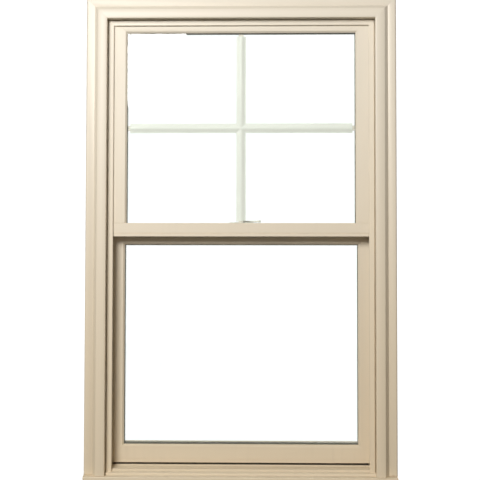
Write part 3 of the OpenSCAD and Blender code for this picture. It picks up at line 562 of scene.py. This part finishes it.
def twist_tree():
    """Twisted rods that rise from the points they are given"""
    tree, given, result = new_group(
        "twisted_rod", "GeometryNodeTree",
        {"Geometry": ("NodeSocketGeometry", None), "Length": ("NodeSocketFloat", 0.6),
         "Width": ("NodeSocketFloat", 0.0039), "Thickness": ("NodeSocketFloat", 0.0014),
         "Pitch": ("NodeSocketFloat", 0.022), "Finish": ("NodeSocketMaterial", None)},
        {"Geometry": "NodeSocketGeometry"})
    top = add(tree, "ShaderNodeCombineXYZ", {2: given["Length"]}).outputs[0]
    line = add(tree, "GeometryNodeCurvePrimitiveLine", {"End": top}).outputs[0]
    step = maths(tree, "DIVIDE", given["Pitch"], 16.0)
    fine = add(tree, "GeometryNodeResampleCurve", {"Curve": line, "Length": step},
               mode="LENGTH").outputs[0]
    height = add(tree, "ShaderNodeSeparateXYZ",
                 {0: add(tree, "GeometryNodeInputPosition").outputs[0]}).outputs["Z"]
    turns = maths(tree, "DIVIDE", height, given["Pitch"])
    tilted = add(tree, "GeometryNodeSetCurveTilt",
                 {"Curve": fine, "Tilt": maths(tree, "MULTIPLY", turns, 2 * math.pi)}).outputs[0]
    strip = add(tree, "GeometryNodeCurvePrimitiveQuadrilateral",
                {"Width": given["Width"], "Height": given["Thickness"]}).outputs[0]
    rod = add(tree, "GeometryNodeCurveToMesh",
              {"Curve": tilted, "Profile Curve": strip, "Fill Caps": True}).outputs[0]
    put = add(tree, "GeometryNodeInstanceOnPoints",
              {"Points": given["Geometry"], "Instance": rod})
    finish_tree(tree, given, result, put.outputs[0])


def screw_tree():
    """Countersunk screws with a cross recess, heads facing each point's axis"""
    tree, given, result = new_group(
        "cross_screw", "GeometryNodeTree",
        {"Geometry": ("NodeSocketGeometry", None), "Head Radius": ("NodeSocketFloat", 0.0028),
         "Head Height": ("NodeSocketFloat", 0.0016), "Shank Radius": ("NodeSocketFloat", 0.0015),
         "Length": ("NodeSocketFloat", 0.014), "Thread Pitch": ("NodeSocketFloat", 0.0012),
         "Finish": ("NodeSocketMaterial", None)},
        {"Geometry": "NodeSocketGeometry"})
    head_r, head_h = given["Head Radius"], given["Head Height"]
    shank_r, length = given["Shank Radius"], given["Length"]

    def lowered(geometry, drop):
        at = add(tree, "ShaderNodeCombineXYZ", {2: drop}).outputs[0]
        return add(tree, "GeometryNodeTransform",
                   {"Geometry": geometry, "Translation": at}).outputs[0]

    head = add(tree, "GeometryNodeMeshCone",
               {"Vertices": 28, "Radius Top": head_r,
                "Radius Bottom": maths(tree, "MULTIPLY", shank_r, 0.9), "Depth": head_h})
    head = lowered(head.outputs["Mesh"], maths(tree, "MULTIPLY", head_h, -1.0))
    cross = add(tree, "GeometryNodeJoinGeometry")
    long, thin = maths(tree, "MULTIPLY", head_r, 1.15), maths(tree, "MULTIPLY", head_r, 0.3)
    for a, b in ((long, thin), (thin, long)):
        size = add(tree, "ShaderNodeCombineXYZ", {0: a, 1: b, 2: head_h}).outputs[0]
        bar = add(tree, "GeometryNodeMeshCube", {"Size": size}).outputs["Mesh"]
        tree.links.new(bar, cross.inputs[0])
    cut = add(tree, "GeometryNodeMeshBoolean", operation="DIFFERENCE")
    tree.links.new(head, cut.inputs[0])
    tree.links.new(cross.outputs[0], cut.inputs[1])
    run = maths(tree, "SUBTRACT", length, head_h)
    core = add(tree, "GeometryNodeMeshCylinder",
               {"Vertices": 16, "Radius": maths(tree, "MULTIPLY", shank_r, 0.78), "Depth": run})
    middle = maths(tree, "MULTIPLY", maths(tree, "ADD", length, head_h), -0.5)
    core = lowered(core.outputs["Mesh"], middle)
    turns = maths(tree, "DIVIDE", run, given["Thread Pitch"])
    helix = add(tree, "GeometryNodeCurveSpiral",
                {"Resolution": 14, "Rotations": turns,
                 "Start Radius": maths(tree, "MULTIPLY", shank_r, 0.86),
                 "End Radius": maths(tree, "MULTIPLY", shank_r, 0.80),
                 "Height": maths(tree, "MULTIPLY", run, -0.96)}).outputs[0]
    ridge = add(tree, "GeometryNodeCurvePrimitiveCircle",
                {"Resolution": 4, "Radius": maths(tree, "MULTIPLY", shank_r, 0.14)},
                mode="RADIUS").outputs[0]
    thread = add(tree, "GeometryNodeCurveToMesh",
                 {"Curve": helix, "Profile Curve": ridge, "Fill Caps": True}).outputs[0]
    thread = lowered(thread, maths(tree, "MULTIPLY", head_h, -1.0))
    whole = add(tree, "GeometryNodeJoinGeometry")
    for part in (cut.outputs[0], core, thread):
        tree.links.new(part, whole.inputs[0])
    axis = add(tree, "GeometryNodeInputNamedAttribute", {"Name": "axis"},
               data_type="FLOAT_VECTOR").outputs[0]
    turn = add(tree, "FunctionNodeAlignRotationToVector", {"Vector": axis}, axis="Z")
    put = add(tree, "GeometryNodeInstanceOnPoints",
              {"Points": given["Geometry"], "Instance": whole.outputs[0],
               "Rotation": turn.outputs[0]})
    finish_tree(tree, given, result, put.outputs[0])


# ---------- pieces ----------

UPRIGHT_PROFILES = (
    "frame_jamb_left", "frame_jamb_right", "casing_left", "casing_right",
    "upper_stile_left", "upper_stile_right", "lower_stile_left", "lower_stile_right",
    "upper_bead_left", "upper_bead_right", "lower_bead_left", "lower_bead_right")
LEVEL_PROFILES = (
    "frame_head", "frame_sill", "casing_head", "sill_nose", "nose_end_caps",
    "upper_top_rail", "meeting_rail", "lower_check_rail", "lower_bottom_rail",
    "upper_bead_top", "lower_bead_top", "lower_bead_bottom")


def body_of(node):
    return NODES[node]["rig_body"]


def vinyl_slot(node):
    if node.startswith(("casing", "sill_nose", "nose_end")):
        return "casing_vinyl"
    return "frame_vinyl" if node.startswith("frame") else "sash_vinyl"


def make_profiles(nodes, material):
    for node in nodes:
        mesh = rounded_copy(node, sizes().profile_arris)
        piece(node + "_profile", mesh, material, body_of(node), vinyl_slot(node), node)


def make_panes():
    for node in ("upper_pane_outer", "upper_pane_inner", "lower_pane_outer", "lower_pane_inner"):
        mesh = rounded_copy(node, sizes().glass_arris)
        piece(node + "_glass", mesh, "clear_glass", body_of(node), "glass", node)


def spacer_ring(node):
    """A spacer ring's opening, as half width, bottom and top, and its outer box"""
    corners = [c for part in solids_of(node) for c in part]
    low, high = box_of(corners)
    inner_low, inner_high = box_of([c for c in corners if abs(c.x) < high.x - MM])
    return inner_high.x, inner_low.z, inner_high.z, low, high


def make_spacer(sash):
    """A metal spacer with a channelled inner face, its sealant, and its perforations"""
    node = sash + "_spacer"
    half, bottom, top, low, high = spacer_ring(node)
    channel, lip, metal = 0.35 * MM, 1.6 * MM, 6.5 * MM
    side = [(0.0, 0.3 * MM), (lip, 0.0), (lip + 0.5 * MM, channel)]
    depth = high.y - low.y
    inner_face = side + [(depth - y, s) for y, s in reversed(side)]
    outline = inner_face + [(depth - 0.4 * MM, metal), (0.4 * MM, metal)]
    # the bar's finish is painted near black as shade
    for name, profile, material in (
            (sash + "_spacer_bar", outline, "spacer_painted_shade"),
            (sash + "_spacer_sealant",
             [(0.0, metal), (depth, metal), (depth, None), (0.0, None)], "sealant")):
        work = bmesh.new()
        rings = []
        for sx, sz in ((-1, -1), (1, -1), (1, 1), (-1, 1)):
            ring = []
            for y, out in profile:
                if out is None:
                    x, z = sx * high.x, high.z if sz > 0 else low.z
                else:
                    x = sx * (half + out)
                    z = top + out if sz > 0 else bottom - out
                ring.append(work.verts.new((x, low.y + y, z)))
            rings.append(ring)
        count = len(profile)
        for a in range(4):
            for i in range(count):
                j, b = (i + 1) % count, (a + 1) % 4
                work.faces.new((rings[a][i], rings[a][j], rings[b][j], rings[b][i]))
        stands_for = (node,) if material == "spacer_painted_shade" else ()
        piece(name, mesh_from(work, name), material, body_of(node), "spacer_bar", *stands_for)
    path = bpy.data.meshes.new(sash + "_spacer_path")
    out = channel - 0.02 * MM
    x, y = half + out, (low.y + high.y) / 2
    corners = [(-x, y, bottom - out), (x, y, bottom - out), (x, y, top + out), (-x, y, top + out)]
    path.from_pydata(corners, [(0, 1), (1, 2), (2, 3), (3, 0)], [])
    # each hole is a thin disc painted near black as shade
    holes = grown(bpy.data.node_groups["spacer_perforations"], path, {
        "Pitch": sizes().perforation_pitch, "Finish": bpy.data.materials["hole_painted_shade"]})
    piece(sash + "_spacer_perforations", holes, None, body_of(node), "spacer_bar")


def ribbed_blocks(node):
    """Rubber blocks with shallow ribs across their length"""
    work = bmesh.new()
    for part in solids_of(node):
        low, high = box_of(part)
        ribs = 12
        dip = 0.5 * MM
        tops = []
        for i in range(ribs):
            a = low.x + (high.x - low.x) * i / ribs
            b = low.x + (high.x - low.x) * (i + 1) / ribs
            gap = (b - a) * 0.25
            tops += [(a, high.z - dip), (a + gap, high.z - dip), (a + gap, high.z),
                     (b, high.z)]
        tops.append((high.x, high.z - dip))
        outline = [(low.x, low.z)] + tops + [(high.x, low.z)]
        outline.reverse()
        swept(work, lambda y: [(x, y, z) for x, z in outline], low.y, high.y)
    bmesh.ops.remove_doubles(work, verts=work.verts, dist=0.001 * MM)
    piece(node + "_ribbed", mesh_from(work, node), "black_rubber", body_of(node), "rubber", node)


def make_glazing():
    perforation_tree()
    make_panes()
    for sash in ("upper", "lower"):
        make_spacer(sash)
        ribbed_blocks(sash + "_setting_blocks")


def grille_outline(half_w, half_t):
    """Sculptured bar: flat thin edges that swell in an S to a rounded middle"""
    steps = 14
    front = []
    for i in range(steps + 1):
        across = -1 + 2 * i / steps
        rise = 0.5 + 0.5 * math.cos(math.pi * min(1.0, abs(across) / 0.86))
        front.append((across * half_w, -half_t * (0.26 + 0.74 * rise ** 0.8)))
    return front + [(-a, -b) for a, b in front]


def make_grille():
    for node, level in (("grille_upright", False), ("grille_bar", True)):
        low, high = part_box(node)
        middle = (low + high) / 2
        half = (high - low) / 2
        outline = grille_outline(half.z if level else half.x, half.y)
        work = bmesh.new()
        if level:
            swept(work, lambda x: [(x, middle.y + t, middle.z + w) for w, t in outline],
                  low.x, high.x)
        else:
            swept(work, lambda z: [(middle.x + w, middle.y + t, z) for w, t in outline],
                  low.z, high.z)
        piece(node + "_sculptured", mesh_from(work, node, 50), "grille_enamel",
              body_of(node), "grille_paint", node)
    clips = rounded_copy("grille_clips", 0.4 * MM)
    piece("grille_clips_moulded", clips, "moulded_hardware", body_of("grille_clips"),
          "grille_paint", "grille_clips")


def make_brush(node, direction):
    """A backing strip, a thin fin and rows of bristles for each brush strip"""
    backing = 0.7 * MM
    work = bmesh.new()
    bed = bmesh.new()
    height = 0
    for part in solids_of(node):
        low, high = box_of(part)
        if direction == "z":
            rise, run, middle = high.z - low.z, "x", (low.y + high.y) / 2
            base, tip = low.z + backing, high.z

            def at(along, across, up):
                return along, across, up
            ends = (low.x, high.x)
        else:
            side = 1 if low.x > 0 else -1
            base = (low.x if side > 0 else high.x) + side * backing
            tip = high.x if side > 0 else low.x
            middle = (low.y + high.y) / 2

            def at(along, across, up):
                return up, across, along
            ends = (low.z, high.z)
        foot = base - (backing if tip > base else -backing)
        half = (high.y - low.y) / 2
        bulge = 0.25 * MM
        strip = [(-half, foot), (half, foot), (half, base), (half - bulge, base),
                 (-half + bulge, base), (-half, base)]
        swept(work, lambda s: [at(s, middle + a, u) for a, u in strip], *ends)
        fin = [(-0.06 * MM, base), (0.06 * MM, base), (0.06 * MM, tip), (-0.06 * MM, tip)]
        swept(work, lambda s: [at(s, middle + a, u) for a, u in fin], *ends)
        wide = half - 0.4 * MM
        quad = [at(ends[0], middle - wide, base), at(ends[1], middle - wide, base),
                at(ends[1], middle + wide, base), at(ends[0], middle + wide, base)]
        out = Vector(at(0, 0, 1 if tip > base else -1))
        normal = (Vector(quad[1]) - Vector(quad[0])).cross(Vector(quad[2]) - Vector(quad[0]))
        if normal.dot(out) < 0:
            quad.reverse()
        bed.faces.new([bed.verts.new(p) for p in quad])
        height = abs(tip - base)
    name = node + "_backing"
    piece(name, mesh_from(work, name), "grey_pile", body_of(node), "pile", node)
    floor = bpy.data.meshes.new(node + "_bed")
    bed.to_mesh(floor)
    bed.free()
    tufts = grown(bpy.data.node_groups["brush_bristles"], floor, {
        "Height": height, "Radius": sizes().bristle_radius,
        "Density": sizes().bristles_per_area, "Seed": 11,
        "Finish": bpy.data.materials["grey_pile"]})
    piece(node + "_bristles", tufts, None, body_of(node), "pile")


def make_bulb_seal():
    """A hollow bulb that closes the gap under the lower sash"""
    node = "lower_bulb_seal"
    low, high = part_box(node)
    middle, half = (low.y + high.y) / 2, (high.y - low.y) / 2
    tall = high.z - low.z
    outer, inner = [], []
    for i in range(17):
        a = math.pi * i / 16
        outer.append((half * math.cos(a), high.z - 0.5 * MM - (tall - 0.5 * MM) * math.sin(a)))
        inner.append(((half - 0.9 * MM) * math.cos(a),
                      high.z - 0.7 * MM - (tall - 1.5 * MM) * math.sin(a)))
    outline = outer + [(-half, high.z), (-0.6 * MM, high.z)]
    outline += [(-0.6 * MM, high.z - 0.7 * MM)] + inner[::-1] + [(0.6 * MM, high.z - 0.7 * MM)]
    outline += [(0.6 * MM, high.z), (half, high.z)]
    work = bmesh.new()
    swept(work, lambda x: [(x, middle + a, z) for a, z in outline], low.x, high.x)
    piece("lower_bulb_seal_hollow", mesh_from(work, node), "black_rubber", body_of(node),
          "rubber", node)


def make_weather_strips():
    bristle_tree()
    make_brush("upper_pile_strips", "x")
    make_brush("lower_pile_strips", "x")
    make_brush("upper_top_seal", "z")
    make_bulb_seal()


def screw_facts(node):
    """Head centre and outward axis of each screw in a node, and its sizes"""
    found, size = [], None
    for part in solids_of(node):
        low, high = box_of(part)
        span = high - low
        k = max(range(3), key=lambda i: span[i])
        middle = (low + high) / 2

        def reach(end):
            return max(((c - middle) - Vector([(c - middle)[i] if i == k else 0
                                              for i in range(3)])).length
                       for c in part if abs(c[k] - end) < 0.05 * MM)
        top = high[k] if reach(high[k]) > reach(low[k]) else low[k]
        axis = Vector((0, 0, 0))
        axis[k] = 1 if top == high[k] else -1
        head = middle.copy()
        head[k] = top
        shank = min(reach(high[k]), reach(low[k]))
        size = (max(reach(high[k]), reach(low[k])), shank, span[k])
        found.append((head, axis))
    return found, size


def make_screws():
    screw_tree()
    for node in ("tube_screws", "keeper_screws", "lock_screws", "upper_foot_screws",
                 "lower_foot_screws"):
        found, (head_r, shank_r, length) = screw_facts(node)
        mesh = bpy.data.meshes.new(node + "_points")
        mesh.from_pydata([h - a * 0.02 * MM for h, a in found], [], [])
        axis = mesh.attributes.new("axis", "FLOAT_VECTOR", "POINT")
        axis.data.foreach_set("vector", [v for _, a in found for v in a])
        made = grown(bpy.data.node_groups["cross_screw"], mesh, {
            "Head Radius": head_r, "Shank Radius": shank_r, "Length": length,
            "Thread Pitch": sizes().thread_pitch, "Finish": bpy.data.materials["zinc_steel"]})
        smooth(made, 40)
        piece(node + "_cross", made, None, body_of(node), "steel", node)


def make_balances():
    twist_tree()
    for node in ("upper_balance_tubes", "lower_balance_tubes"):
        mesh = rounded_copy(node, 0.2 * MM)
        piece(node + "_moulded", mesh, "tube_shell", body_of(node), "tube_plastic", node)
    for node in ("upper_balance_rods", "lower_balance_rods"):
        feet, length, wide = [], 0, 0
        for part in solids_of(node):
            low, high = box_of(part)
            feet.append(((low.x + high.x) / 2, (low.y + high.y) / 2, low.z))
            length, wide = high.z - low.z, high.x - low.x
        points = bpy.data.meshes.new(node + "_points")
        points.from_pydata(feet, [], [])
        made = grown(bpy.data.node_groups["twisted_rod"], points, {
            "Length": length, "Width": wide * 0.95, "Thickness": wide * 0.32,
            "Pitch": sizes().twist_pitch, "Finish": bpy.data.materials["zinc_steel"]})
        smooth(made, 40)
        piece(node + "_spiral", made, None, body_of(node), "steel", node)
    for node in ("upper_rod_feet", "lower_rod_feet"):
        mesh = rounded_copy(node, 0.35 * MM)
        piece(node + "_pressed", mesh, "zinc_steel", body_of(node), "steel", node)


def make_hardware():
    edge = sizes().hardware_edge
    for node, width in (("lock_housing", edge * 1.6), ("lock_cam", edge),
                        ("lock_keeper", edge * 0.7), ("vent_housing_left", edge * 0.5),
                        ("vent_housing_right", edge * 0.5), ("vent_tongue_left", edge),
                        ("vent_tongue_right", edge)):
        mesh = rounded_copy(node, width, 3)
        piece(node + "_moulded", mesh, "moulded_hardware", body_of(node), "hardware", node)


# ---------- stage ----------

CAMERA_SIDE = 0.0945  # metres to the right of the window's middle
CAMERA_TURNS = (1.58, 2.72, 0.11)  # degrees to the left, upwards and clockwise
LENS, SENSOR_WIDTH = 100.39, 36
BACKDROP = 1.15  # strength of the white that the camera sees around the window
FLOOR_GLOW = 1.1


def area_light(name, place, target, size, power, colour):
    data = bpy.data.lights.new(name, "AREA")
    data.shape = "DISK"
    data.size = size
    data.energy = power
    data.color = colour
    lamp = bpy.data.objects.new(name, data)
    bpy.context.scene.collection.objects.link(lamp)
    lamp.location = place
    lamp.rotation_euler = (Vector(target) - Vector(place)).to_track_quat("-Z", "Y").to_euler()


def seen_directly(tree):
    """1 for what the camera sees, also through glass, and 0 for the light that it sends out"""
    rays = add(tree, "ShaderNodeLightPath").outputs
    through = maths(tree, "MAXIMUM", rays["Is Camera Ray"], rays["Is Transmission Ray"])
    return maths(tree, "MULTIPLY", through, maths(tree, "LESS_THAN", rays["Diffuse Depth"], 0.5))


def make_floor():
    half = stage_settings().floor_size / 2
    work = bmesh.new()
    bmesh.ops.create_grid(work, x_segments=8, y_segments=8, size=half)
    mesh = bpy.data.meshes.new("floor")
    work.to_mesh(mesh)
    work.free()
    floor = bpy.data.objects.new("floor", mesh)
    bpy.context.scene.collection.objects.link(floor)
    made, tree, shader, output = new_material("pale_floor")
    shader.inputs["Base Color"].default_value = (0.16, 0.15, 0.135, 1)
    shader.inputs["Roughness"].default_value = 0.9
    glow = add(tree, "ShaderNodeEmission", {"Strength": FLOOR_GLOW})
    both = add(tree, "ShaderNodeMixShader",
               {0: seen_directly(tree), 1: shader.outputs[0], 2: glow.outputs[0]})
    tree.links.new(both.outputs[0], output.inputs["Surface"])
    mesh.materials.append(made)


def make_world():
    world = bpy.data.worlds.new("studio")
    bpy.context.scene.world = world
    world.use_nodes = True
    tree = world.node_tree
    tree.nodes.clear()
    seen = add(tree, "ShaderNodeBackground", {"Color": (1, 1, 1, 1), "Strength": BACKDROP})
    soft = add(tree, "ShaderNodeBackground",
               {"Color": (1.0, 0.93, 0.82, 1), "Strength": stage_settings().ambient})
    both = add(tree, "ShaderNodeMixShader",
               {0: seen_directly(tree), 1: soft.outputs[0], 2: seen.outputs[0]})
    add(tree, "ShaderNodeOutputWorld", {"Surface": both.outputs[0]})


def make_camera():
    yaw, pitch, roll = (math.radians(turn) for turn in CAMERA_TURNS)
    ahead = Vector((-math.sin(yaw) * math.cos(pitch), math.cos(yaw) * math.cos(pitch),
                    math.sin(pitch)))
    level = Vector((math.cos(yaw), math.sin(yaw), 0))
    above = level.cross(ahead)
    right = level * math.cos(roll) + above * math.sin(roll)
    up = above * math.cos(roll) - level * math.sin(roll)
    data = bpy.data.cameras.new("camera")
    data.sensor_width = SENSOR_WIDTH
    data.lens = LENS
    camera = bpy.data.objects.new("camera", data)
    bpy.context.scene.collection.objects.link(camera)
    camera.matrix_world = Matrix.Translation(
        (CAMERA_SIDE, -stage_settings().camera_distance, stage_settings().camera_height)
    ) @ Matrix((right, up, -ahead)).transposed().to_4x4()
    bpy.context.scene.camera = camera


def make_stage():
    make_floor()
    make_world()
    make_camera()
    s = stage_settings()
    area_light("key", (-1.1, -3.4, 2.15), (0.0, 0.0, 0.75), 1.6, s.key_power, (1.0, 0.985, 0.96))
    area_light("fill", (1.8, -2.6, 0.5), (0.0, 0.0, 0.3), 1.6, s.fill_power, (1.0, 0.84, 0.62))
    area_light("back", (1.2, 3.0, 2.2), (0.0, 0.0, 0.7), 1.5, s.back_power, (1.0, 0.98, 0.95))
    bpy.context.scene.view_settings.view_transform = "Standard"


# ---------- operators ----------


class SASH_OT_finishes(bpy.types.Operator):
    """Build the shader groups and the materials"""

    bl_idname = "sash_window.finishes"
    bl_label = "Finishes"

    def execute(self, context):
        make_finishes()
        return {"FINISHED"}


class SASH_OT_profiles(bpy.types.Operator):
    """Round and finish the vinyl profiles of frame, casing and sashes"""

    bl_idname = "sash_window.profiles"
    bl_label = "Vinyl Profiles"

    def execute(self, context):
        make_profiles(UPRIGHT_PROFILES, "vinyl_upright")
        make_profiles(LEVEL_PROFILES, "vinyl_level")
        return {"FINISHED"}


class SASH_OT_glazing(bpy.types.Operator):
    """Build the panes, spacer bars and setting blocks"""

    bl_idname = "sash_window.glazing"
    bl_label = "Glazing"

    def execute(self, context):
        make_glazing()
        return {"FINISHED"}


class SASH_OT_grille(bpy.types.Operator):
    """Build the sculptured grille between the upper panes"""

    bl_idname = "sash_window.grille"
    bl_label = "Grille"

    def execute(self, context):
        make_grille()
        return {"FINISHED"}


class SASH_OT_weather_strips(bpy.types.Operator):
    """Build the brush strips and the bulb seal"""

    bl_idname = "sash_window.weather_strips"
    bl_label = "Weather Strips"

    def execute(self, context):
        make_weather_strips()
        return {"FINISHED"}


class SASH_OT_balances(bpy.types.Operator):
    """Build the balance tubes, spiral rods and their feet"""

    bl_idname = "sash_window.balances"
    bl_label = "Balances"

    def execute(self, context):
        make_balances()
        return {"FINISHED"}


class SASH_OT_screws(bpy.types.Operator):
    """Build every screw"""

    bl_idname = "sash_window.screws"
    bl_label = "Screws"

    def execute(self, context):
        make_screws()
        return {"FINISHED"}


class SASH_OT_hardware(bpy.types.Operator):
    """Round and finish the lock, keeper and vent stops"""

    bl_idname = "sash_window.hardware"
    bl_label = "Lock and Vent Stops"

    def execute(self, context):
        make_hardware()
        return {"FINISHED"}


class SASH_OT_stage(bpy.types.Operator):
    """Set the floor, light and camera"""

    bl_idname = "sash_window.stage"
    bl_label = "Stage"

    def execute(self, context):
        make_stage()
        return {"FINISHED"}


OPERATORS = (SASH_OT_finishes, SASH_OT_profiles, SASH_OT_glazing, SASH_OT_grille,
             SASH_OT_weather_strips, SASH_OT_balances, SASH_OT_screws, SASH_OT_hardware,
             SASH_OT_stage)


class SASH_PT_window(bpy.types.Panel):
    """Sash window tools"""

    bl_label = "Sash Window"
    bl_idname = "SASH_PT_window"
    bl_space_type = "VIEW_3D"
    bl_region_type = "UI"
    bl_category = "Sash Window"

    def draw(self, context):
        for group in ("sash_finishes", "sash_sizes", "sash_stage"):
            settings = getattr(context.scene, group)
            box = self.layout.box()
            for name in settings.__annotations__:
                box.prop(settings, name)
        for operator in OPERATORS:
            self.layout.operator(operator.bl_idname)


SETTINGS = {"sash_finishes": SashFinishes, "sash_sizes": SashSizes, "sash_stage": SashStage}


def register():
    for cls in (*SETTINGS.values(), *OPERATORS, SASH_PT_window):
        bpy.utils.register_class(cls)
    for name, cls in SETTINGS.items():
        setattr(bpy.types.Scene, name, bpy.props.PointerProperty(type=cls))


def unregister():
    for name in SETTINGS:
        delattr(bpy.types.Scene, name)
    for cls in (SASH_PT_window, *reversed(OPERATORS), *SETTINGS.values()):
        bpy.utils.unregister_class(cls)


def main():
    register()
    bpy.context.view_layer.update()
    for operator in OPERATORS:
        family, name = operator.bl_idname.split(".")
        getattr(getattr(bpy.ops, family), name)()


if __name__ == "__main__":
    main()
